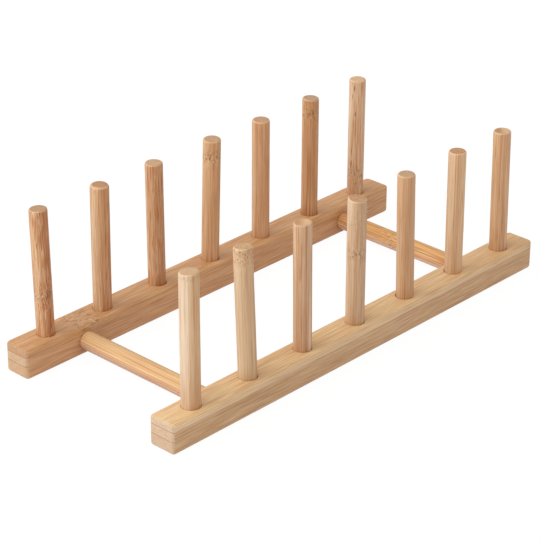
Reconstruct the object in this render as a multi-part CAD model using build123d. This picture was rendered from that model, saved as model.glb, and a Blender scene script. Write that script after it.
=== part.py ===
from build123d import *
import os

# Plate rack of bamboo: two laminated rails, a row of pegs glued upright in each, and two cross
# dowels that hold the rails apart. Plates stand on edge between neighbouring pegs.
# Millimetres. X runs along the rails, Y from the front rail to the rear rail, Z up.
# The origin is the middle of the rack on the surface that the rails rest on.

# Rails, each glued up from three flat bamboo plies
rail_width = 20.4
bottom_ply = 8.8
middle_ply = 6.4
top_ply = 4.9
rack_depth = 148.3                  # outer face of one rail to outer face of the other
rail_shift = {"front": 0.2, "rear": -0.2}     # along X, each rail with its row of pegs
edge_radius = 1.8                   # long edges and the edges of the end faces
corner_extra = {                    # sanding left the upright corners this much rounder than the edges
    "front_left_near": 0.3,
    "front_left_far": 0.8,
    "front_right_near": 1.2,
    "front_right_far": 0.7,
    "rear_left_near": 0.1,
    "rear_left_far": 2.0,
    "rear_right_near": 1.1,
    "rear_right_far": 2.0,
}

# Pegs, plain dowels glued into blind holes
pegs_per_rail = 7
peg_pitch = 48.5
end_margin = 24.6                   # from each end of a rail to the middle of the nearest peg
peg_diameter = 11.6
peg_length = 98.8
peg_hole_depth = 13.0
peg_rim_radius = 1.3                # rounded rim of the upper end
peg_foot_chamfer = 0.6              # leads the peg into its hole
peg_girth = {                       # added to the diameter, the dowels were planed by hand
    "front_1": 0.4,
    "front_2": 0.3,
    "front_3": 0.1,
    "front_4": 0.3,
    "front_5": -0.2,
    "rear_1": -0.1,
    "rear_2": 0.2,
    "rear_3": -0.1,
    "rear_4": 0.2,
    "rear_5": 0.2,
    "rear_6": -0.4,
    "rear_7": -0.3,
}
peg_rim_extra = {                   # added to the radius of the rim
    "front_5": 0.3,
    "rear_2": 1.0,
    "rear_5": 0.3,
}

# Cross dowels, each midway between the last two pegs of a row
cross_dowel_diameter = 12.1
cross_dowel_height = 9.5            # axis above the surface that the rack rests on
cross_dowel_shift = {"left": 0.5, "right": -0.2}    # along the rails, bored by eye like the pegs
shoulder_radius = 1.0               # rounded shoulders that butt against the rails' inner faces
tenon_diameter = 8.0                # turned down at each end and glued into the rail
tenon_length = 12.0
tenon_chamfer = 0.6
tenon_hole_spare = 0.4              # room for glue past each tenon

# Room for glue around every dowel and peg, measured on the radius
glue_gap = 0.05

# The holes were bored by eye. The pegs below depart from a straight, level row.
peg_lean = {                        # degrees, positive when the top goes towards +X and -Y
    "front_1": -0.2,
    "front_2": -2.0,
    "front_3": -0.6,
    "front_4": -0.2,
    "front_5": -1.2,
    "front_6": -0.5,
    "front_7": -0.9,
    "rear_1": -1.0,
    "rear_2": 0.3,
    "rear_3": -0.5,
    "rear_4": 1.1,
}
peg_shift = {                       # along the rail
    "front_1": -0.1,
    "front_2": -0.5,
    "front_3": -0.4,
    "front_4": -0.4,
    "front_5": -0.2,
    "front_6": 0.4,
    "front_7": -0.7,
    "rear_1": 0.3,
    "rear_2": -0.2,
    "rear_3": -0.5,
    "rear_6": 0.3,
    "rear_7": -0.2,
}
peg_lift = {                        # a shallower hole leaves the peg standing higher
    "front_1": 2.5,
    "front_2": 1.4,
    "front_3": 0.1,
    "front_4": -0.5,
    "front_5": 0.3,
    "front_6": 0.2,
    "front_7": -0.4,
    "rear_2": 0.3,
    "rear_3": -0.5,
    "rear_4": 0.4,
    "rear_5": -0.8,
    "rear_6": 0.2,
}

# Derived places
rail_height = bottom_ply + middle_ply + top_ply
row_length = (pegs_per_rail - 1) * peg_pitch
rail_length = row_length + 2 * end_margin
rail_y = {"front": (rail_width - rack_depth) / 2, "rear": (rack_depth - rail_width) / 2}
facing = {"front": 1, "rear": -1}   # direction of each rail's inner face along Y
lean_axis = (1, 1, 0)               # the level diagonal that every leaning peg turns about
inner_gap = rack_depth - 2 * rail_width
first_peg_x = -row_length / 2
cross_dowel_x = {
    "left": (peg_pitch - row_length) / 2 + cross_dowel_shift["left"],
    "right": (row_length - peg_pitch) / 2 + cross_dowel_shift["right"],
}
cut_overrun = 5.0                   # how far a cutting tool stands out of the wood


def peg_place(side, number):
    """Where a peg's axis meets the top of its rail, turned to the peg's lean."""
    key = f"{side}_{number}"
    x = rail_shift[side] + first_peg_x + (number - 1) * peg_pitch + peg_shift.get(key, 0.0)
    upright = Location((x, rail_y[side], rail_height))
    lean = Location((0, 0, 0), lean_axis, peg_lean.get(key, 0.0))
    return upright * lean


def peg_radius(side, number):
    return (peg_diameter + peg_girth.get(f"{side}_{number}", 0.0)) / 2


def peg_hole(side, number):
    """The tool that bores one peg hole."""
    depth = peg_hole_depth - peg_lift.get(f"{side}_{number}", 0.0)
    radius = peg_radius(side, number) + glue_gap
    tool = Cylinder(radius, depth + cut_overrun, align=(Align.CENTER, Align.CENTER, Align.MIN))
    return peg_place(side, number) * Pos(0, 0, -depth) * tool


def peg(side, number):
    """One peg, seated on the bottom of its hole."""
    key = f"{side}_{number}"
    depth = peg_hole_depth - peg_lift.get(key, 0.0)
    dowel = Cylinder(peg_radius(side, number), peg_length, align=(Align.CENTER, Align.CENTER, Align.MIN))
    rims = dowel.edges().filter_by(GeomType.CIRCLE).sort_by(Axis.Z)
    dowel = fillet(rims[-1], peg_rim_radius + peg_rim_extra.get(key, 0.0))
    foot = dowel.edges().filter_by(GeomType.CIRCLE).sort_by(Axis.Z)[0]
    dowel = chamfer(foot, peg_foot_chamfer)
    return peg_place(side, number) * Pos(0, 0, -depth) * dowel


def tenon_hole(side, end):
    """The tool that bores one rail for a tenon, from the rail's inner face."""
    depth = tenon_length + tenon_hole_spare
    radius = tenon_diameter / 2 + glue_gap
    tool = Rot(90, 0, 0) * Cylinder(radius, depth + cut_overrun)
    inner_face = rail_y[side] + facing[side] * rail_width / 2
    middle = inner_face - facing[side] * (depth - cut_overrun) / 2
    return Pos(cross_dowel_x[end], middle, cross_dowel_height) * tool


def cross_dowel(end):
    """One cross dowel with a rounded shoulder and a chamfered tenon at both ends."""
    body = Cylinder(cross_dowel_diameter / 2, inner_gap)
    body = fillet(body.edges().filter_by(GeomType.CIRCLE), shoulder_radius)
    core = Cylinder(tenon_diameter / 2, inner_gap + 2 * tenon_length)
    core = chamfer(core.edges().filter_by(GeomType.CIRCLE), tenon_chamfer)
    return Pos(cross_dowel_x[end], 0, cross_dowel_height) * Rot(90, 0, 0) * (body + core)


def upright_corner(rail, end, face):
    """The sharp upright edge at one end of a rail, on its near or its far face."""
    at_end = rail.edges().filter_by(Axis.Z).group_by(Axis.X)[0 if end == "left" else -1]
    return at_end.sort_by(Axis.Y)[0 if face == "near" else -1]


def bored_rail(side):
    """One whole rail with its edges rounded and all its holes bored."""
    rail = Box(rail_length, rail_width, rail_height, align=(Align.CENTER, Align.CENTER, Align.MIN))
    for end in cross_dowel_x:
        for face in ("near", "far"):
            radius = edge_radius + corner_extra[f"{side}_{end}_{face}"]
            rail = fillet(upright_corner(rail, end, face), radius)
    flat_faces = rail.faces().filter_by(Axis.Z)
    rail = fillet(flat_faces.edges(), edge_radius)
    rail = Pos(rail_shift[side], rail_y[side], 0) * rail
    for number in range(1, pegs_per_rail + 1):
        rail -= peg_hole(side, number)
    for end in cross_dowel_x:
        rail -= tenon_hole(side, end)
    return rail


def ply(rail, floor, thickness):
    """The layer of a rail between two glue lines."""
    slab = Box(2 * rail_length, 2 * rack_depth, thickness, align=(Align.CENTER, Align.CENTER, Align.MIN))
    return rail & Pos(0, 0, floor) * slab


parts = {}
for side in ("front", "rear"):
    rail = bored_rail(side)
    parts[f"rail_{side}_bottom_ply"] = ply(rail, 0, bottom_ply)
    parts[f"rail_{side}_middle_ply"] = ply(rail, bottom_ply, middle_ply)
    parts[f"rail_{side}_top_ply"] = ply(rail, bottom_ply + middle_ply, top_ply)
    for number in range(1, pegs_per_rail + 1):
        parts[f"peg_{side}_{number}"] = peg(side, number)
for end in cross_dowel_x:
    parts[f"cross_dowel_{end}"] = cross_dowel(end)

os.makedirs("parts", exist_ok=True)
for name, shape in parts.items():
    export_step(shape, f"parts/{name}.step")
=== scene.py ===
import math
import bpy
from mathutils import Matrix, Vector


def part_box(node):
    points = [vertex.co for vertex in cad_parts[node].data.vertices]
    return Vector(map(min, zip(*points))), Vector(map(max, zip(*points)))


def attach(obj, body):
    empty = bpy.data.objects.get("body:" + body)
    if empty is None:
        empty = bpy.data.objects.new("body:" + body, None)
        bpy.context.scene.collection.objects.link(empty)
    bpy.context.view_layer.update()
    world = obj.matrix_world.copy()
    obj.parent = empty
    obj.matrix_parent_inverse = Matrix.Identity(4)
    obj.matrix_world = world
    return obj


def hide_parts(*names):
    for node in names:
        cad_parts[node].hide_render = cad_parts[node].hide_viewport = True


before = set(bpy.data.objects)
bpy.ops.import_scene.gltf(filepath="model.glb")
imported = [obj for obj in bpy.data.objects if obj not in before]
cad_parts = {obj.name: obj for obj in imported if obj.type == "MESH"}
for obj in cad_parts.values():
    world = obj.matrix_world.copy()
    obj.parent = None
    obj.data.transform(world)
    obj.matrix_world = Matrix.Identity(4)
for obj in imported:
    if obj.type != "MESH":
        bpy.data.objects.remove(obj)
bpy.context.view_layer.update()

from types import SimpleNamespace

import bmesh
import bpy
import numpy as np
from mathutils import Matrix, Vector

# A bamboo plate rack: two rails of three plies each, fourteen pegs and two cross dowels.
# Metres, in the frame of the CAD model. Sizes and places are read from its nodes.

MM = 0.001
UP = Vector((0, 0, 1))
ALONG_RAIL = Vector((1, 0, 0))
ACROSS_RACK = Vector((0, 1, 0))     # from the front rail to the rear rail
SIDES = ("front", "rear")
PLIES = ("bottom", "middle", "top")
ENDS = ("left", "right")
PEGS = range(1, 8)

# Shapes of the wood
EDGE_RADIUS = {"front": 1.8 * MM, "rear": 1.9 * MM}    # level edges of a rail
CORNER_RADIUS = {                   # upright corners of a rail, near and far
    "front_left": (2.1 * MM, 2.6 * MM), "front_right": (3.0 * MM, 2.5 * MM),
    "rear_left": (2.6 * MM, 3.6 * MM), "rear_right": (2.9 * MM, 3.8 * MM),
}
HOLE_GAP = 0.16 * MM                # open ring around a peg, on the radius
HOLE_RIM = 0.25 * MM                # worn rim of a hole
HOLE_OFFSET = {                     # millimetres from a peg to its hole: to the right, to the viewer
    "front_1": (0.05, 0.10), "front_2": (0.14, 0.06), "front_3": (0.00, 0.12), "front_4": (0.00, 0.14),
    "front_5": (-0.30, 0.00), "front_6": (-0.28, 0.06), "front_7": (0.00, 0.05),
    "rear_1": (0.08, 0.08), "rear_2": (-0.10, 0.14), "rear_3": (0.14, 0.02), "rear_4": (0.05, 0.05),
    "rear_5": (0.00, 0.05), "rear_6": (0.00, 0.10), "rear_7": (0.05, 0.05),
}
DRILL_LENGTH = 30 * MM
PEG_RIM = 1.3 * MM
PEG_RIM_EXTRA = {"front_5": 0.3 * MM, "rear_2": 1.0 * MM, "rear_5": 0.3 * MM}
PEG_FOOT = 0.6 * MM
DISH = {"front_3": 0.6 * MM, "front_4": 0.2 * MM, "front_7": 0.95 * MM}    # hollow tops
SLOPE = {                           # tops sawn off square, degrees about X and Y
    "front_1": (1, 7), "front_2": (5, 4), "front_3": (2, 6), "front_4": (-2, -5), "rear_1": (2, 2),
    "rear_4": (-2, 1), "rear_6": (1, -2),
}
SHOULDER_RIM = 1.0 * MM             # rounded shoulders of a cross dowel
TENON_RADIUS = 4.0 * MM
TENON_CHAMFER = 0.6 * MM
WAVINESS = 0.10 * MM                # how far sanding left a dowel from true
WAVE_SIZE = 9 * MM
WAVE_LEVEL = 0.5                    # level of the waves that leaves the surface in place

# Fineness of the meshes
ROUND_SIDES = 64                    # sides of a turned dowel
RINGS_ALONG = 24                    # cuts along a dowel, which its waves need
DISH_RINGS = 7
RIM_STEPS = 6                       # strips of a rounded rim, shoulder or upright corner
EDGE_STEPS = 5                      # strips of a level edge of a rail
HOLE_RIM_STEPS = 2
ROUND_PROFILE = 0.5
TURNED_CREASE = 30                  # degrees, sharper edges of a turned piece stay crisp
SAWN_CREASE = 40                    # the same for a sawn piece
FLAT_FACE_WEIGHT = 100              # large flat faces set the shading at their borders
NEARLY = 0.1 * MM                   # how far from its plane a picked corner may lie
FACING = 0.999                      # how squarely a picked face looks along its axis
DIGITS = 7                          # corners of a CAD node that agree this far are one

# Camera, solved from the edges of the rails and pegs in the photograph
CAMERA_PLACE = (-0.93801, -0.87047, 0.68272)
CAMERA_AZIMUTH = -46.827            # 0 looks along +Y
CAMERA_ELEVATION = 26.905
CAMERA_ROLL = 0.393
LENS = 148.485
SENSOR_WIDTH = 36

# Floor and light
WHITE = (1, 1, 1, 1)
FLOOR_SIZE = 12
FLOOR_COLOUR = (0.92, 0.91, 0.90, 1)
FLOOR_GLOW = 1.03
FLOOR_WHITENESS = 0.92              # share of the floor's white that shadows leave alone
WORLD_COLOUR = (1.0, 0.98, 0.95, 1)
WORLD_STRENGTH = 0.64
BACKDROP_STRENGTH = 1.0
KEY_LAMP = dict(azimuth=162, elevation=43, distance=4.5, size=4.0, power=132)


def direction(azimuth, elevation=0):
    """A direction by its degrees from +X towards +Y and its degrees above the floor."""
    azimuth = math.radians(azimuth)
    elevation = math.radians(elevation)
    level = math.cos(elevation)
    return Vector((math.cos(azimuth) * level, math.sin(azimuth) * level, math.sin(elevation)))


RIGHT = direction(CAMERA_AZIMUTH)   # to the right in the picture
TO_VIEWER = RIGHT.cross(UP)


def select_nothing():
    bpy.ops.object.select_all(action="DESELECT")


def make_active(piece):
    select_nothing()
    piece.select_set(True)
    bpy.context.view_layer.objects.active = piece


def settle(piece, name):
    """Names a new primitive and bakes its place into its mesh."""
    piece.name = name
    piece.data.name = name
    make_active(piece)
    bpy.ops.object.transform_apply(location=True, rotation=True, scale=True)
    return piece


def edit(piece):
    make_active(piece)
    bpy.ops.object.mode_set(mode="EDIT")


def leave_edit():
    bpy.ops.object.mode_set(mode="OBJECT")


def pick(piece, kind, test):
    """In edit mode, selects the vertices, edges or faces that pass the test, and only them."""
    bpy.ops.mesh.select_mode(type=kind)
    bpy.ops.mesh.select_all(action="DESELECT")
    form = bmesh.from_edit_mesh(piece.data)
    items = {"VERT": form.verts, "EDGE": form.edges, "FACE": form.faces}[kind]
    for item in items:
        if test(item):
            item.select_set(True)
    bmesh.update_edit_mesh(piece.data)


def close(first, second):
    return abs(first - second) < NEARLY


def rise_of(edge):
    return abs(edge.verts[0].co.z - edge.verts[1].co.z)


def pick_level_edges(piece):
    pick(piece, "EDGE", lambda e: rise_of(e) < NEARLY)


def pick_end_face(piece, height, sign):
    """Picks the flat end at a height, which looks up where the sign is 1 and down where it is -1."""
    pick(piece, "FACE", lambda f: f.normal.z * sign > FACING and close(f.calc_center_median().z, height))


def round_off(radius, steps):
    """Rounds the picked edges. One step makes a chamfer."""
    bpy.ops.mesh.bevel(offset=radius, segments=steps, profile=ROUND_PROFILE, affect="EDGES")


def extrude(rise):
    bpy.ops.mesh.extrude_region_move(TRANSFORM_OT_translate={"value": (0, 0, rise)})


def apply_modifier(piece, kind, **settings):
    """Adds a modifier, sets it and applies it."""
    make_active(piece)
    modifier = piece.modifiers.new(kind.lower(), kind)
    for key, value in settings.items():
        setattr(modifier, key, value)
    bpy.ops.object.modifier_apply(modifier=modifier.name)


def smooth(piece, crease):
    """Smooth shading that keeps the flat faces flat."""
    make_active(piece)
    bpy.ops.object.shade_smooth_by_angle(angle=math.radians(crease))
    apply_modifier(piece, "WEIGHTED_NORMAL", keep_sharp=True, weight=FLAT_FACE_WEIGHT)


def line_of(node):
    """The two ends and the radius of a round CAD node, whichever way it leans."""
    points = np.array([v.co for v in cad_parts[node].data.vertices])
    points = np.unique(points.round(DIGITS), axis=0)
    middle = points.mean(axis=0)
    along = np.linalg.svd(points - middle, full_matrices=False)[2][0]
    along = along * np.sign(along[np.abs(along).argmax()])
    reach = (points - middle) @ along
    aside = np.linalg.norm(points - middle - np.outer(reach, along), axis=1)
    return Vector(middle + along * reach.min()), Vector(middle + along * reach.max()), float(aside.max())


def frame_along(start, along, across):
    """The frame of a piece: its origin, Z along the fibres and X across them."""
    z = along.normalized()
    x = (across - z * across.dot(z)).normalized()
    y = z.cross(x)
    turn = Matrix((x, y, z)).transposed().to_4x4()
    return Matrix.Translation(start) @ turn


def at_height(start, end, height):
    """The point of a line at a height above the floor."""
    return start.lerp(end, (height - start.z) / (end.z - start.z))


def rail_box(side):
    """The low and the high corner of a whole rail."""
    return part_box(f"rail_{side}_bottom_ply")[0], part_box(f"rail_{side}_top_ply")[1]


# Turned pieces

def round_bar(name, radius, length):
    """A plain round bar that stands on the origin."""
    select_nothing()
    bpy.ops.mesh.primitive_cylinder_add(
        vertices=ROUND_SIDES, radius=radius, depth=length, location=(0, 0, length / 2))
    return settle(bpy.context.object, name)


def cut_rings(piece, length):
    """Cuts the long edges of a turned piece, so that it can be a little out of true."""
    pick(piece, "EDGE", lambda e: rise_of(e) > length / 2)
    bpy.ops.mesh.subdivide(number_cuts=RINGS_ALONG)


def sand(piece):
    """Leaves a turned piece a little out of true, as sanding by hand does."""
    texture = bpy.data.textures.get("sanding") or bpy.data.textures.new("sanding", "CLOUDS")
    texture.noise_scale = WAVE_SIZE
    apply_modifier(piece, "DISPLACE", texture=texture, strength=WAVINESS, mid_level=WAVE_LEVEL)
    smooth(piece, TURNED_CREASE)


def dish_top(piece, radius, length, dish):
    """Cuts the flat top of a peg into rings and sinks them in a smooth hollow, as deep as its dish."""
    pick_end_face(piece, length, 1)
    depths = [dish * (1 - math.cos(math.pi * ring / DISH_RINGS)) / 2 for ring in range(DISH_RINGS + 1)]
    for depth, next_depth in zip(depths, depths[1:]):
        bpy.ops.mesh.inset(thickness=radius / (DISH_RINGS + 1))
        bpy.ops.transform.translate(value=(0, 0, depth - next_depth))


def slant_top(piece, height, slope):
    """Tips all that lies above a height, as a saw held askew leaves it."""
    pick(piece, "VERT", lambda v: v.co.z > height - NEARLY)
    for axis, angle in zip("XY", slope):
        bpy.ops.transform.rotate(
            value=math.radians(angle), orient_axis=axis, center_override=(0, 0, height))


def peg(key, place, radius, length):
    """A turned peg. Its upper rim is rounded, its foot is chamfered, and its top may be dished
    and sawn a little off square."""
    rim = PEG_RIM + PEG_RIM_EXTRA.get(key, 0)
    piece = round_bar(f"{key}_peg", radius, length)
    edit(piece)
    for height, size, steps in ((length, rim, RIM_STEPS), (0, PEG_FOOT, 1)):
        pick(piece, "EDGE", lambda e: all(close(v.co.z, height) for v in e.verts))
        round_off(size, steps)
    dish_top(piece, radius - rim, length, DISH.get(key, 0))
    cut_rings(piece, length)
    slant_top(piece, length - rim, SLOPE.get(key, (0, 0)))
    leave_edit()
    piece.data.transform(place)
    sand(piece)
    return piece


def cross_dowel(name, place, radius, length, tenon):
    """A turned dowel with rounded shoulders and a tenon at both ends."""
    piece = round_bar(name, radius, length)
    edit(piece)
    pick_level_edges(piece)
    round_off(SHOULDER_RIM, RIM_STEPS)
    for sign, height in ((-1, 0), (1, length)):
        pick_end_face(piece, height, sign)
        bpy.ops.mesh.inset(thickness=radius - SHOULDER_RIM - TENON_RADIUS)
        extrude(sign * (tenon - TENON_CHAMFER))
        extrude(sign * TENON_CHAMFER)
        bpy.ops.transform.resize(value=[1 - TENON_CHAMFER / TENON_RADIUS] * 2 + [1])
    cut_rings(piece, length)
    leave_edit()
    piece.data.transform(place)
    sand(piece)
    return piece


# Rails

def rail_blank(side):
    """One rail before it is bored: a bar with all its edges rounded."""
    low, high = rail_box(side)
    select_nothing()
    bpy.ops.mesh.primitive_cube_add(size=1, location=(low + high) / 2)
    bpy.context.object.scale = high - low
    piece = settle(bpy.context.object, f"rail_{side}")
    edit(piece)
    for end, x in zip(ENDS, (low.x, high.x)):
        for radius, y in zip(CORNER_RADIUS[f"{side}_{end}"], (low.y, high.y)):
            pick(piece, "EDGE", lambda e: all(close(v.co.x, x) and close(v.co.y, y) for v in e.verts))
            round_off(radius, RIM_STEPS)
    pick_level_edges(piece)
    round_off(EDGE_RADIUS[side], EDGE_STEPS)
    leave_edit()
    return piece


def bore(piece, place, radius, depth):
    """Bores a round hole from the origin of place along its Z."""
    drill = round_bar("drill", radius, depth)
    drill.data.transform(place)
    apply_modifier(piece, "BOOLEAN", operation="DIFFERENCE", object=drill, solver="EXACT")
    bpy.data.objects.remove(drill)


def round_hole_rim(piece, centre, radius):
    """Rounds the sharp rim of a hole that was bored from above, at the level of its centre."""
    def on_rim(corner):
        away = corner.co - centre
        return abs(away.z) < NEARLY / 2 and abs(away.xy.length - radius) < NEARLY * 2

    edit(piece)
    pick(piece, "EDGE", lambda e: all(on_rim(corner) for corner in e.verts))
    round_off(HOLE_RIM, HOLE_RIM_STEPS)
    leave_edit()


def plies_of(side, blank):
    """Saws a bored rail along its glue lines into its three plies."""
    underside, top = (corner.z for corner in rail_box(side))
    pieces = []
    for ply in PLIES:
        piece = blank.copy()
        piece.data = blank.data.copy()
        bpy.context.collection.objects.link(piece)
        piece.name = f"rail_{side}_{ply}"
        piece.data.name = piece.name
        edit(piece)
        low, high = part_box(f"rail_{side}_{ply}_ply")
        for height, kept in ((low.z, 1), (high.z, -1)):
            if underside + NEARLY < height < top - NEARLY:
                bpy.ops.mesh.select_all(action="SELECT")
                bpy.ops.mesh.bisect(
                    plane_co=(0, 0, height), plane_no=(0, 0, kept), use_fill=True, clear_inner=True)
        leave_edit()
        smooth(piece, SAWN_CREASE)
        pieces.append(piece)
    bpy.data.objects.remove(blank)
    return pieces


# Shader arithmetic

def set_stops(ramp, stops):
    """Sets the stops that a new colour ramp has, and adds the others."""
    for count, (place, tone) in enumerate(stops):
        stop = ramp.elements[count] if count < len(ramp.elements) else ramp.elements.new(place)
        stop.position = place
        stop.color = tone


class Shade:
    """One socket of a material. Arithmetic on it adds Math nodes."""

    def __init__(self, tree, socket=None):
        self.tree = tree
        self.socket = socket

    def node(self, kind, settings=None, sockets=None, result=0):
        """Adds a node, sets it, fills or links its sockets, and gives one of its results."""
        made = self.tree.nodes.new("ShaderNode" + kind)
        for key, value in (settings or {}).items():
            if key == "stops":
                set_stops(made.color_ramp, value)
            else:
                setattr(made, key, value)
        for key, value in (sockets or {}).items():
            if isinstance(value, Shade):
                self.tree.links.new(value.socket, made.inputs[key])
            else:
                made.inputs[key].default_value = value
        return Shade(self.tree, made.outputs[result])

    def math(self, operation, *values):
        return self.node("Math", {"operation": operation}, dict(enumerate(values)))

    def vector(self, operation, *values, result=0):
        return self.node("VectorMath", {"operation": operation}, dict(enumerate(values)), result)

    def __add__(self, other):
        return self.math("ADD", self, other)

    def __sub__(self, other):
        return self.math("SUBTRACT", self, other)

    def __rsub__(self, other):
        return self.math("SUBTRACT", other, self)

    def __mul__(self, other):
        return self.math("MULTIPLY", self, other)

    def __abs__(self):
        return self.math("ABSOLUTE", self)

    __radd__ = __add__
    __rmul__ = __mul__

    def part(self, axis):
        return self.node("SeparateXYZ", {}, {0: self}, "XYZ".index(axis))

    def rise(self, low, high):
        """0 up to low, 1 from high on, and a smooth step between them."""
        return self.node("MapRange", {"interpolation_type": "SMOOTHSTEP"}, {0: self, 1: low, 2: high})

    def near(self, place, reach):
        """1 at the place, falling smoothly to 0 at the reach."""
        return 1 - abs(self - place).rise(0.0, reach)

    def blend(self, first, second):
        """The first colour where this is 0 and the second where it is 1."""
        return self.node("Mix", {"data_type": "RGBA"}, {0: self, 6: first, 7: second}, 2)

    def times(self, tint):
        """This colour with each of its parts multiplied by that of the tint."""
        return self.vector("MULTIPLY", self, tint)


def colour(red, green, blue):
    """A colour as a screen shows it, 0 to 255, made linear."""
    linear = []
    for level in (red / 255, green / 255, blue / 255):
        linear.append(level / 12.92 if level <= 0.04045 else ((level + 0.055) / 1.055) ** 2.4)
    return (*linear, 1)


def tinted(tone, tint):
    return (*(part * share for part, share in zip(tone, tint)), 1)


# Colours of the bamboo. A tint is a share of the wood around it.
LIGHTER = (1.20, 1.36, 1.52)        # the palest wood of a piece
DARKER = (0.76, 0.61, 0.49)
VEIN = (0.74, 0.58, 0.45)           # a dark fibre
END_TINT = (0.98, 0.97, 0.98)       # end grain that has no tone of its own
RUST = colour(190, 118, 74)
GLUE = colour(136, 86, 50)
CHAR = colour(104, 66, 36)
# pale wisps of fibre; also the pale rounded edges, which are partly a painted highlight
WISP = colour(236, 206, 168)
# painted sheen: a pale greyish colour in place of the white surroundings reflected on a rail's rounded
# upper edge
PAINTED_SHEEN = colour(222, 196, 170)

# Grain of the bamboo, in millimetres. A line fades in between the levels low and high of its noise.
SWING = dict(width=5.0, length=45.0)
SWIRL = dict(width=2.0, length=6.0)
FIBRES = dict(width=0.55, length=70.0, low=0.34, high=0.66)
BROAD_STREAKS = dict(width=3.0, length=260.0, strength=0.40)
NARROW_STREAKS = dict(width=1.2, length=110.0, strength=0.52)
CLOUDS = dict(width=7.0, length=24.0, strength=0.16)
RUST_LINES = dict(width=0.65, length=60.0, low=0.54, high=0.66)
VEINS = dict(width=0.45, length=24.0, low=0.58, high=0.68, detail=0.0)
VEIN_FIELDS = dict(width=4.0, length=40.0, low=0.36, high=0.60)
WISPS = dict(width=0.50, length=45.0, low=0.58, high=0.68, detail=0.0)
KNOT_EDGE = dict(width=3.0, length=3.0)
KNOT_STAIN = dict(width=3.0, length=5.0, low=0.40, high=0.60)
KNOT_DASHES = dict(low=0.52, high=0.62, twist=0.6)
KNOT_WISPS = dict(low=0.54, high=0.66, twist=0.6)
MARK_FIBRES = dict(width=0.5, length=3.0, low=0.25, high=0.45)
SHEEN_FIBRES = dict(width=0.8, length=40.0, low=0.40, high=0.60)
END_SPECKS = dict(width=0.6, length=6.0)
END_CLOUDS = dict(width=3.0, length=9.0)
PIECE_SHIFT = (7.31, 3.17, 11.9)    # moves the noise on from piece to piece
LAYER_SHIFT = (3.7, 0.0, 8.1)       # and from layer to layer
NOISE_ROUGHNESS = 0.6
MIDDLE = 0.5                        # middle of a noise, and the level of a plain tone
SIDEWAYS = (2.0, 2.0, 0.0)          # makes a push run from -1 to 1, and none of it along the fibres

# Where the layers of the bamboo lie, in millimetres, and how strong they are
TONE_SIDES = (-3.5, 3.5)            # X where the low-side tone, partly painted light, ends and the tone is full
SWIRL_REACH = 2.5                   # as a share of the knot's own reach
SWIRL_STRENGTH = 2.2
WISP_STRENGTH = 0.30
VEIN_DENT = 0.4
KNOT_RAGGEDNESS = 1.2               # as a share of the knot's own reach
KNOT_WISP_STRENGTH = 0.6
KNOT_DASH_STRENGTH = 0.85
KNOT_DENT = 2.0
MARK_STRENGTH = 0.95
VIEWER_SIDE = (-1.0, 1.0)           # Y where the side that faces the viewer ends and the back begins
# Painted sheen on the near face of a rail: height of its middle above the floor, and its reach
SHEEN_HEIGHT = 17.0
SHEEN_REACH = 4.5
NEAR_FACE = (-9.8, -8.4)            # X from the near face of a rail to past its rounded edge
PALE_EDGE_FACING = 0.66                  # a pale rounded edge, partly sanding wear and partly a painted highlight, faces this far along the fibres
PALE_EDGE_REACH = 0.34
SPECK_STRENGTH = 2.4
END_CLOUD_STRENGTH = 0.5
BOWL_SIDES = (-3.5, 3.0)            # X from the dark to the pale side of a hollow top, whose shade is painted
SEAM_REACH = 0.36
SEAM_STRENGTH = 0.8
SEAM_ENDS = (110.0, 170.0)          # Z where a glue line begins to show on the sides, and shows in full
SEAM_SIDE_STRENGTH = 0.5
ROUGHNESS = 0.50
FIBRE_ROUGHNESS = 0.25
END_ROUGHNESS = 0.12
FIBRE_BUMP = 0.6
BUMP_STRENGTH = 0.5
BUMP_DEPTH = 0.05 * MM
IOR = 1.45


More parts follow.
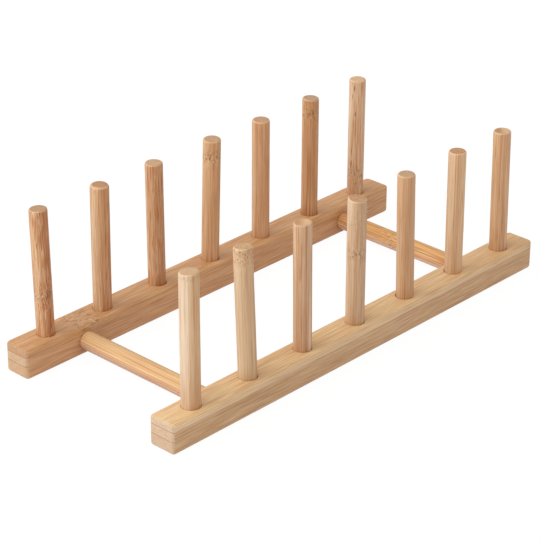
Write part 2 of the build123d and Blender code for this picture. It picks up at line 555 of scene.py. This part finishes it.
class Bamboo:
    """A bamboo material in the frame of its piece: fibres along Z, lengths in millimetres."""

    def __init__(self, name, place, seed, look):
        self.material = bpy.data.materials.new(name)
        self.material.use_nodes = True
        self.start = Shade(self.material.node_tree)
        self.look = look
        self.tone = colour(*look.tone)
        self.low_tone_with_painted_light = colour(*look.low_tone_with_painted_light) if look.low_tone_with_painted_light else self.tone
        self.end = colour(*look.end) if look.end else tinted(self.tone, END_TINT)
        self.axis = place.to_3x3().col[2]
        inward = place.inverted()
        self.where = self.start.node("Mapping", {}, {
            "Vector": self.start.node("TexCoord", result="Object"),
            "Location": inward.translation / MM, "Rotation": inward.to_euler(), "Scale": (1 / MM,) * 3})
        self.seed = seed
        self.turns = 0

    def noise(self, points, width, length, detail=1.0, twist=0.0, reach=1.0, result=0):
        """Noise drawn out along the fibres, with streaks of a width and a length."""
        self.turns += 1
        scale = (1 / width, 1 / width, 1 / (length * reach))
        shift = [self.seed * piece + self.turns * layer for piece, layer in zip(PIECE_SHIFT, LAYER_SHIFT)]
        points = points.vector("MULTIPLY_ADD", points, scale, shift)
        return self.start.node("TexNoise", {}, {
            "Vector": points, "Scale": 1.0, "Detail": detail, "Roughness": NOISE_ROUGHNESS,
            "Distortion": twist}, result)

    def streaks(self, width, length, strength, contrast=1.0, reach=1.0):
        """Lighter and darker streaks about 0."""
        return (self.noise(self.fibres, width, length, reach=reach) - MIDDLE) * (2 * strength * contrast)

    def lines(self, points, width, length, low, high, detail=1.0, twist=0.0, reach=1.0):
        """Separate lines, 1 in their middle."""
        return self.noise(points, width, length, detail, twist, reach).rise(low, high)

    def bend(self, points, width, length, amount, reach=1.0):
        """Points pushed aside by up to about the amount, which may vary."""
        push = self.noise(points, width, length, reach=reach, result=1)
        push = push.vector("SUBTRACT", push, (MIDDLE,) * 3)
        push = push.vector("MULTIPLY", push, SIDEWAYS)
        push = push.node("VectorMath", {"operation": "SCALE"}, {0: push, "Scale": amount})
        return points.vector("ADD", points, push)

    def ramp(self, level, tone):
        """Dark, plain and pale wood of a tone, as the level goes from 0 to 1."""
        return self.start.node("ValToRGB", {"stops": [
            (0.0, tinted(tone, DARKER)), (1.0, tinted(tone, LIGHTER)), (MIDDLE, tone)]}, {0: level})

    def paint(self, share, tone):
        """Lays a tone over the wood, as strongly as the share says."""
        self.shade = share.blend(self.shade, tone)

    def lay_fibres(self):
        """Swings the fibres to and fro, and more tightly near a joint of the cane."""
        look = self.look
        self.fibres = self.bend(self.where, **SWING, amount=look.wander, reach=look.reach)
        if look.knots:
            closeness = sum(
                self.where.part("Z").near(height, spread * SWIRL_REACH) * strength
                for height, spread, strength in look.knots)
            swirl = closeness * (SWIRL_STRENGTH * look.wander)
            self.fibres = self.bend(self.fibres, **SWIRL, amount=swirl)
        self.x, self.y, self.z = (self.fibres.part(axis) for axis in "XYZ")

    def colour_sides(self):
        """The tone along and across the fibres, from broad streaks down to single veins."""
        look = self.look
        fibres = self.lines(self.fibres, **FIBRES, reach=look.reach)
        self.fine = (fibres - MIDDLE) * (look.fibre * look.contrast)
        broad = self.streaks(**BROAD_STREAKS, contrast=look.contrast, reach=look.reach)
        level = MIDDLE + broad + self.fine
        level = level + self.streaks(**NARROW_STREAKS, contrast=look.contrast, reach=look.reach)
        level = level + self.streaks(**CLOUDS)
        # Strips of the wood's own tone; on the pegs, the paler strips near the left and right edges are
        # partly painted light that brightens those edges
        for axis, across, width, change in look.stripes:
            level = level + self.fibres.part(axis).near(across, width) * change
        # Painted contact shade, with grime: a peg darker near where it enters the rail
        if look.foot:
            level = level - self.where.part("Z").near(0.0, look.foot_reach) * look.foot
        # Painted light: the side at low X takes a tone of its own, paler on a peg's lit left side and
        # pinker on a cross dowel's underside, lit by the floor
        tones_with_painted_light = self.x.rise(*TONE_SIDES).blend(self.low_tone_with_painted_light, self.tone)
        self.shade = self.ramp(level, WHITE).times(tones_with_painted_light)
        self.paint(self.lines(self.fibres, **RUST_LINES, reach=look.reach) * look.rust, RUST)
        veins = self.lines(self.fibres, **VEINS) * self.lines(self.fibres, **VEIN_FIELDS) * look.contrast
        self.shade = self.shade.times(veins.blend(WHITE, tinted(WHITE, VEIN)))
        self.dent = veins * VEIN_DENT
        wisps = self.lines(self.fibres, **WISPS, reach=look.reach)
        self.paint(wisps * (WISP_STRENGTH * look.contrast), WISP)

    def add_knots(self):
        """Joints of the cane: dark dashes with paler wisps between them, and at times a stain."""
        look = self.look
        for height, spread, strength in look.knots:
            ragged = (self.noise(self.where, **KNOT_EDGE) - MIDDLE) * (spread * KNOT_RAGGEDNESS)
            zone = (self.where.part("Z") + ragged).near(height, spread) * strength
            if look.stain:
                self.paint(zone * self.lines(self.where, **KNOT_STAIN) * look.stain, RUST)
            dashes = zone * self.lines(self.fibres, *look.dash, **KNOT_DASHES)
            wisps = zone * self.lines(self.fibres, *look.dash, **KNOT_WISPS)
            self.paint(wisps * KNOT_WISP_STRENGTH, WISP)
            self.paint(dashes * KNOT_DASH_STRENGTH, look.char)
            self.dent = self.dent + dashes * KNOT_DENT

    def add_marks(self):
        """Short dark lines on the side that faces the viewer."""
        for across, height, length, width in self.look.marks:
            mark = self.x.near(across, width) * self.z.near(height, length / 2)
            mark = mark * (1 - self.y.rise(*VIEWER_SIDE)) * self.lines(self.fibres, **MARK_FIBRES)
            self.paint(mark * MARK_STRENGTH, self.look.char)
            self.dent = self.dent + mark

    def add_painted_sheen(self):
        """A painted sheen: a paler band along the near face of a rail, below its upper edge, in place of
        the white surroundings reflected on it.
        """
        if self.look.haze:
            band = self.where.part("Y").near(SHEEN_HEIGHT, SHEEN_REACH)
            band = band * (1 - self.where.part("X").rise(*NEAR_FACE))
            self.paint(band * self.lines(self.fibres, **SHEEN_FIBRES) * self.look.haze, PAINTED_SHEEN)

    def cut_ends(self):
        """End grain where the surface faces along the fibres, pale rounded edges that are partly sanding
        wear and partly a painted highlight, and painted shade in a hollow top.
        """
        look = self.look
        normal = self.start.node("TexCoord", result="Normal")
        facing = abs(self.where.vector("DOT_PRODUCT", normal, self.axis, result=1))
        self.ends = facing.rise(*look.turn)
        # Pale rounded edges: partly sanding wear, partly a painted highlight
        self.paint(facing.near(PALE_EDGE_FACING, PALE_EDGE_REACH) * look.worn, WISP)
        self.specks = self.noise(self.where, **END_SPECKS) - MIDDLE
        clouds = self.noise(self.where, **END_CLOUDS) - MIDDLE
        level = MIDDLE + self.specks * (SPECK_STRENGTH * look.speck) + clouds * END_CLOUD_STRENGTH
        # Painted shade in a hollow top: darker at low X, paler at high X
        if look.bowl:
            level = level + (self.where.part("X").rise(*BOWL_SIDES) - MIDDLE) * look.bowl
        self.paint(self.ends, self.ramp(level, self.end))

    def add_glue(self):
        """Dark glue lines, full on the ends of a rail and fainter along its sides."""
        for height in self.look.glue:
            seam = self.where.part("Y").near(height, SEAM_REACH) * SEAM_STRENGTH
            on_sides = (1 - self.ends) * abs(self.where.part("Z")).rise(*SEAM_ENDS) * SEAM_SIDE_STRENGTH
            self.paint(seam * (self.ends + on_sides), GLUE)

    def join(self):
        """Joins the finished layers to the shader."""
        rough = ROUGHNESS + (self.fine * FIBRE_ROUGHNESS + self.ends * END_ROUGHNESS)
        tall = self.fine * FIBRE_BUMP - self.dent + self.specks * self.ends
        bump = self.start.node("Bump", {}, {
            "Strength": BUMP_STRENGTH, "Distance": BUMP_DEPTH, "Height": tall})
        shader = self.material.node_tree.nodes["Principled BSDF"]
        shader.inputs["IOR"].default_value = IOR
        for socket, value in (("Base Color", self.shade), ("Roughness", rough), ("Normal", bump)):
            self.material.node_tree.links.new(value.socket, shader.inputs[socket])


def bamboo(name, place, seed, look):
    """One piece's bamboo, laid on layer by layer. Each layer moves the noise on for the next."""
    wood = Bamboo(name, place, seed, look)
    wood.lay_fibres()
    wood.colour_sides()
    wood.add_knots()
    wood.add_marks()
    wood.add_painted_sheen()
    wood.cut_ends()
    wood.add_glue()
    wood.join()
    return wood.material


# Finish of each piece. Colours are as a screen shows them, lengths are millimetres.
# X runs across the fibres: to the right on a peg, up on a cross dowel, from near to far on a rail.
# Z runs along them: up from the rail's top on a peg, to the right from the middle of a rail, and
# away from the front rail on a cross dowel. Y is the height of a rail above the floor.
PLAIN = dict(
    low_tone_with_painted_light=None,                  # tone of the side at low X, where it differs: partly the wood's own, partly painted light, paler on a peg's left side where the lamp falls and pinker on a cross dowel's underside, which the floor lights
    end=None,                       # tone of the end grain
    contrast=1.0,                   # of the streaks and veins
    fibre=0.32,                     # strength of the finest fibres
    reach=1.0,                      # length of the grain, as a share of the usual
    rust=0.30,                      # strength of the reddish lines
    wander=0.5,                     # how far the fibres swing
    foot=0.12,                      # how much darker a peg is at the rail: painted contact shade, with grime
    foot_reach=11.0,                # how far up that goes
    speck=0.5,                      # contrast of the end grain
    bowl=0.0,                       # painted shade in a hollow top: darker at low X, where its wall turns from the lamp, paler at high X
    worn=0.35,                      # how pale the rounded edges are: partly sanding wear, partly a painted highlight
    haze=0.0,                       # strength of the painted sheen, a paler band on a rail
    turn=(0.84, 0.97),              # how squarely a surface faces along the fibres to show some end
                                    # grain, and then only end grain
    char=CHAR,                      # colour of the dashes and marks
    dash=(0.75, 2.4),               # width and length of the dashes in a knot
    stain=0.0,                      # strength of a reddish stain in a knot
    knots=(),                       # joints of the cane: height along Z, reach, strength
    stripes=(),                     # strips of paler or darker wood; on the pegs, the paler strips near either edge (X beyond about ±3.5) are partly painted light: axis, place, width, change
    marks=(),                       # short dark lines: place across, height, length, width
    glue=(),                        # heights of the glue lines
)
RAIL = dict(
    contrast=0.6, fibre=1.0, reach=0.4, rust=0.15, wander=0.35, worn=0.06, foot=0.0, dash=(0.9, 3.6),
    turn=(0.30, 0.62))

# Heights of the glue lines, which are the same in both rails
LOWER_SEAM, UPPER_SEAM = (corner.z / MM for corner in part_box("rail_front_middle_ply"))

FINISH = {
    "rail_front_bottom_ply": dict(
        RAIL, tone=(205, 165, 123), end=(204, 173, 143), glue=(LOWER_SEAM,)),
    "rail_front_middle_ply": dict(
        RAIL, tone=(203, 163, 121), end=(208, 179, 147), haze=0.5,
        glue=(LOWER_SEAM, UPPER_SEAM)),
    "rail_front_top_ply": dict(
        RAIL, contrast=0.5, tone=(226, 187, 137), end=(211, 184, 154), haze=0.7,
        glue=(UPPER_SEAM,),
        stripes=(("Z", -170, 110, 0.10), ("Z", -172, 40, 0.12), ("Z", 175, 110, -0.17))),
    "rail_rear_bottom_ply": dict(
        RAIL, tone=(206, 156, 112), end=(201, 164, 128), glue=(LOWER_SEAM,)),
    "rail_rear_middle_ply": dict(
        RAIL, tone=(206, 156, 112), end=(202, 169, 135), glue=(LOWER_SEAM, UPPER_SEAM)),
    "rail_rear_top_ply": dict(
        RAIL, tone=(207, 157, 108), end=(192, 150, 111), glue=(UPPER_SEAM,),
        knots=((-122, 9, 0.8), (-112, 8, 0.8)), char=colour(138, 88, 48)),
    "cross_dowel_left": dict(
        tone=(217, 175, 123), low_tone_with_painted_light=(211, 175, 154), contrast=0.35, rust=0.5, fibre=0.7, foot=0.0,
        stripes=(
            ("X", 6.1, 1.0, 0.3), ("X", 4.4, 1.0, -0.15), ("X", 2.4, 1.2, 0.25), ("X", 1.2, 0.5, -0.4),
            ("X", -0.2, 0.5, -0.5), ("X", -1.8, 0.6, -0.6), ("X", -3.1, 0.6, -0.5),
            ("X", -4.4, 0.7, -0.45))),
    "cross_dowel_right": dict(
        tone=(211, 159, 96), low_tone_with_painted_light=(216, 179, 153), rust=0.9, fibre=0.5, foot=0.0,
        knots=((58, 9, 0.65),), dash=(0.6, 2.4), char=colour(122, 80, 36),
        stripes=(
            ("X", 5.5, 0.6, 0.2), ("X", 4.3, 0.5, -0.3), ("X", 2.8, 0.5, -0.45), ("X", 0.6, 0.6, 0.35),
            ("X", -1.2, 0.6, -0.4))),
    "peg_front_1": dict(
        tone=(214, 175, 133), low_tone_with_painted_light=(226, 201, 172), end=(202, 165, 127), contrast=0.45, foot=0.25,
        foot_reach=40.0, knots=((86, 2.5, 0.35),),
        stripes=(("X", -1.0, 0.9, 0.15), ("X", 0.9, 0.4, -0.1), ("X", 2.8, 0.9, -0.25))),
    "peg_front_2": dict(
        tone=(207, 171, 132), low_tone_with_painted_light=(221, 192, 156), end=(199, 161, 118), contrast=0.5, speck=1.2,
        char=colour(156, 100, 52), stain=0.7, dash=(0.6, 1.5), knots=((85, 4, 0.8), (80, 5, 0.7)),
        stripes=(("X", -4.2, 0.9, 0.12), ("X", 1.8, 0.8, -0.15), ("X", 4.0, 1.3, 0.2))),
    "peg_front_3": dict(
        tone=(202, 163, 129), low_tone_with_painted_light=(208, 171, 135), end=(204, 161, 120), contrast=0.8, rust=0.45,
        bowl=0.6,
        stripes=(
            ("X", -3.4, 0.7, -0.35), ("X", -2.3, 0.6, -0.3), ("X", -0.6, 0.8, -0.4),
            ("X", 0.7, 0.6, -0.25), ("X", 2.1, 0.8, -0.5), ("X", -4.6, 0.8, 0.25), ("X", 4.4, 1.2, 0.3))),
    "peg_front_4": dict(
        tone=(193, 154, 118), low_tone_with_painted_light=(218, 186, 153), end=(191, 147, 106), contrast=0.7, speck=0.9,
        knots=((49, 6, 0.7), (72, 9, 0.25)),
        stripes=(("X", -5.0, 1.2, 0.25), ("X", -0.8, 3.0, -0.25), ("X", 4.4, 1.6, 0.3))),
    "peg_front_5": dict(
        tone=(198, 153, 112), low_tone_with_painted_light=(209, 168, 127), end=(190, 153, 115), contrast=0.6, speck=0.8,
        stripes=(("X", -5.0, 1.2, 0.15), ("X", -0.5, 1.8, -0.25), ("X", 4.6, 1.4, 0.2))),
    "peg_front_6": dict(
        tone=(214, 173, 132), low_tone_with_painted_light=(216, 181, 144), end=(189, 141, 97), contrast=0.8, speck=1.6,
        stripes=(
            ("X", -1.2, 0.5, -0.35), ("X", 0.4, 0.8, -0.25), ("X", 1.6, 0.5, -0.3),
            ("X", 4.6, 1.3, 0.2))),
    "peg_front_7": dict(
        tone=(204, 158, 118), low_tone_with_painted_light=(211, 171, 130), end=(200, 159, 118), bowl=0.6,
        stripes=(
            ("X", -1.0, 0.8, -0.3), ("X", 1.4, 0.9, -0.35), ("X", -2.8, 0.8, 0.12),
            ("X", 4.8, 0.8, 0.2))),
    "peg_rear_1": dict(
        tone=(195, 140, 97), low_tone_with_painted_light=(204, 160, 118), end=(184, 145, 109), contrast=1.5, reach=0.4,
        wander=1.1, rust=0.9, dash=(0.8, 4.0), knots=((28, 6, 0.8),), char=colour(120, 76, 54),
        marks=((3.8, 29, 9, 1.6),),
        stripes=(("X", 3.8, 1.5, -0.6), ("X", -3.0, 0.5, -0.15))),
    "peg_rear_2": dict(
        tone=(194, 138, 92), low_tone_with_painted_light=(210, 170, 130), end=(183, 137, 98), contrast=1.2, reach=0.5,
        rust=0.4,
        stripes=(("X", -1.0, 1.0, 0.15), ("X", 1.6, 0.9, -0.3))),
    "peg_rear_3": dict(
        tone=(190, 136, 93), low_tone_with_painted_light=(205, 158, 116), end=(195, 159, 124), contrast=1.1, reach=0.45,
        wander=0.9, rust=0.7,
        stripes=(
            ("X", -4.8, 1.0, 0.35), ("X", -3.2, 0.8, -0.25), ("X", 0.0, 0.9, -0.2),
            ("X", 1.0, 0.7, -0.25), ("X", 2.6, 0.6, -0.35))),
    "peg_rear_4": dict(
        tone=(202, 151, 107), low_tone_with_painted_light=(209, 164, 120), end=(191, 152, 116), contrast=0.9,
        knots=((75, 6, 1.0),),
        stripes=(("X", -5.0, 1.0, 0.2), ("X", -1.3, 1.6, -0.2), ("X", 3.8, 1.2, 0.15))),
    "peg_rear_5": dict(
        tone=(203, 150, 107), low_tone_with_painted_light=(200, 154, 113), end=(192, 148, 112), contrast=0.65, rust=0.35,
        stripes=(("X", -4.6, 1.2, 0.4), ("X", -2.4, 0.8, -0.25))),
    "peg_rear_6": dict(
        tone=(190, 138, 92), low_tone_with_painted_light=(192, 143, 98), end=(186, 149, 118), speck=2.2, foot=0.4,
        knots=((76, 6, 0.65),),
        stripes=(
            ("X", -4.2, 1.2, 0.35), ("X", -1.6, 1.0, -0.35), ("X", 0.2, 0.8, -0.35),
            ("X", 4.6, 1.2, 0.25))),
    "peg_rear_7": dict(
        tone=(212, 171, 134), low_tone_with_painted_light=(215, 182, 148), end=(212, 174, 134), contrast=1.1, reach=0.5,
        rust=0.6, foot=0.25, foot_reach=60.0, knots=((17, 5, 0.7), (10, 9, 0.35)),
        stripes=(("X", -0.5, 2.8, -0.12), ("X", 3.6, 1.4, 0.4)),
        marks=(
            (-2.2, 80.5, 7, 0.6), (-3.4, 74.5, 8, 0.4), (-1.4, 61.5, 6, 0.6), (-3.1, 33, 12, 0.5),
            (-3.3, 23.5, 8, 0.6))),
}


# Camera, floor and light

def place_camera():
    camera = bpy.data.objects.new("camera", bpy.data.cameras.new("camera"))
    bpy.context.collection.objects.link(camera)
    camera.location = CAMERA_PLACE
    turn = Matrix.Rotation(math.radians(CAMERA_AZIMUTH), 3, "Z")
    tip = Matrix.Rotation(math.radians(90 - CAMERA_ELEVATION), 3, "X")
    roll = Matrix.Rotation(math.radians(CAMERA_ROLL), 3, "Z")
    camera.rotation_euler = (turn @ tip @ roll).to_euler()
    camera.data.sensor_width = SENSOR_WIDTH
    camera.data.lens = LENS
    bpy.context.scene.camera = camera


def area_light(name, azimuth, elevation, distance, size, power):
    """A square lamp that looks at the rack, with its azimuth counted from +X towards +Y."""
    light = bpy.data.lights.new(name, "AREA")
    light.shape = "SQUARE"
    light.size = size
    light.energy = power
    holder = bpy.data.objects.new(name, light)
    bpy.context.collection.objects.link(holder)
    out = direction(azimuth, elevation)
    holder.location = out * distance
    holder.rotation_euler = out.to_track_quat("Z", "Y").to_euler()


def seen_directly(start):
    """1 for what the camera sees straight, in a reflection or through glass."""
    seen = start.node("LightPath", result="Is Camera Ray")
    for ray in ("Is Glossy Ray", "Is Transmission Ray"):
        seen = seen.math("MAXIMUM", seen, start.node("LightPath", result=ray))
    return seen


def lay_floor():
    """A white floor that shows the shadow of the rack faintly."""
    select_nothing()
    bpy.ops.mesh.primitive_plane_add(size=FLOOR_SIZE, location=(0, 0, 0))
    floor = bpy.context.object
    floor.name = "floor"
    material = bpy.data.materials.new("floor")
    material.use_nodes = True
    tree = material.node_tree
    start = Shade(tree)
    matt = start.node("BsdfDiffuse", {}, {"Color": FLOOR_COLOUR})
    white = start.node("Emission", {}, {"Color": WHITE, "Strength": FLOOR_GLOW})
    mixed = start.node("MixShader", {}, {0: seen_directly(start) * FLOOR_WHITENESS, 1: matt, 2: white})
    tree.links.new(mixed.socket, tree.nodes["Material Output"].inputs["Surface"])
    floor.data.materials.append(material)


def light_world():
    """A warm fill that lights the rack, and a plain white that is seen behind it."""
    world = bpy.data.worlds.new("studio")
    bpy.context.scene.world = world
    world.use_nodes = True
    tree = world.node_tree
    start = Shade(tree)
    fill = start.node("Background", {}, {"Color": WORLD_COLOUR, "Strength": WORLD_STRENGTH})
    white = start.node("Background", {}, {"Color": WHITE, "Strength": BACKDROP_STRENGTH})
    mixed = start.node("MixShader", {}, {0: seen_directly(start), 1: fill, 2: white})
    tree.links.new(mixed.socket, tree.nodes["World Output"].inputs["Surface"])


# The rack. Each piece comes with the node that it replaces, its slot and the frame of its grain.

def pegs_and_rail(side):
    """The pegs of one side, and the three plies of its rail with all holes bored."""
    low, high = rail_box(side)
    blank = rail_blank(side)
    pieces = []
    rims = []
    for number in PEGS:
        key = f"{side}_{number}"
        foot, head, radius = line_of(f"peg_{key}")
        along = head - foot
        mouth = frame_along(at_height(foot, head, high.z), along, RIGHT)
        aside, toward = HOLE_OFFSET[key]
        offset = (RIGHT * aside + TO_VIEWER * toward) * MM
        bore(blank, frame_along(foot + offset, along, RIGHT), radius + HOLE_GAP, DRILL_LENGTH)
        rims.append((mouth.translation + offset, radius + HOLE_GAP))
        piece = peg(key, frame_along(foot, along, RIGHT), radius, along.length)
        pieces.append((piece, f"peg_{key}", f"{side}_peg", mouth))
    for end in ENDS:
        start, finish, radius = line_of(f"cross_dowel_{end}")
        along = finish - start
        bore(blank, frame_along(start, along, UP), TENON_RADIUS + HOLE_GAP, along.length)
    for rim in rims:
        round_hole_rim(blank, *rim)
    centre = Vector(((low.x + high.x) / 2, (low.y + high.y) / 2, 0))
    place = frame_along(centre, ALONG_RAIL, ACROSS_RACK)
    for ply, piece in zip(PLIES, plies_of(side, blank)):
        pieces.append((piece, f"rail_{side}_{ply}_ply", f"{side}_rail", place))
    return pieces


def cross_dowels():
    """The two dowels that hold the rails apart, from inner face to inner face."""
    near = rail_box("front")[1].y
    far = rail_box("rear")[0].y
    pieces = []
    for end in ENDS:
        node = f"cross_dowel_{end}"
        start, finish, radius = line_of(node)
        place = frame_along(Vector((start.x, near, start.z)), ACROSS_RACK, UP)
        piece = cross_dowel(f"{end}_cross_dowel", place, radius, far - near, near - start.y)
        pieces.append((piece, node, f"{end}_dowel", place))
    return pieces


place_camera()

made = []
for side in SIDES:
    made += pegs_and_rail(side)
made += cross_dowels()

for seed, (piece, node, slot, place) in enumerate(made):
    look = SimpleNamespace(**{**PLAIN, **FINISH[node]})
    piece.data.materials.clear()
    piece.data.materials.append(bamboo(node, place, seed, look))
    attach(piece, "root")
    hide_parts(node)

lay_floor()
light_world()
area_light("key", **KEY_LAMP)
bpy.context.scene.view_settings.view_transform = "Standard"
